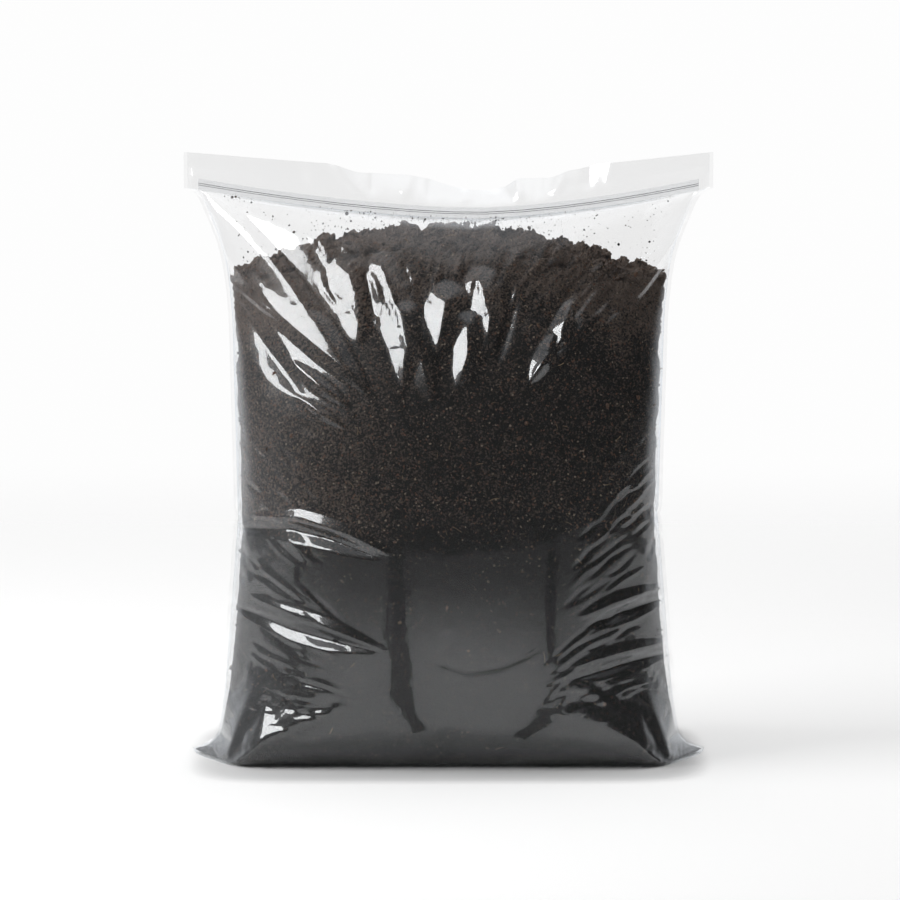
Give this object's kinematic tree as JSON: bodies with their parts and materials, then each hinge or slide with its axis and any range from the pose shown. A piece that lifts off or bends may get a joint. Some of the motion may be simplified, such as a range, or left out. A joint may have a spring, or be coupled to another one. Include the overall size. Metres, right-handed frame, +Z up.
{
  "type": "compost bag",
  "caption": "Clear press-seal plastic bag filled with dark compost, standing upright, with a zip below its open lip and filled ears at its lower corners.",
  "frame": {"origin": "on the floor, under the middle of the bag", "axes": "+Z up, X across the width between the side welds, -Y out of the front panel"},
  "size_m": [0.356, 0.148, 0.41],
  "materials": {
    "clear_film": "clear glossy polyethylene film, wrinkled",
    "compost": null,
    "zip_plastic": "translucent extruded polyethylene"
  },
  "bodies": {
    "root": {"film_bag": "clear_film", "compost": "compost", "zip_rib_strip": "zip_plastic", "zip_groove_strip": "zip_plastic"}
  },
  "joints": []
}
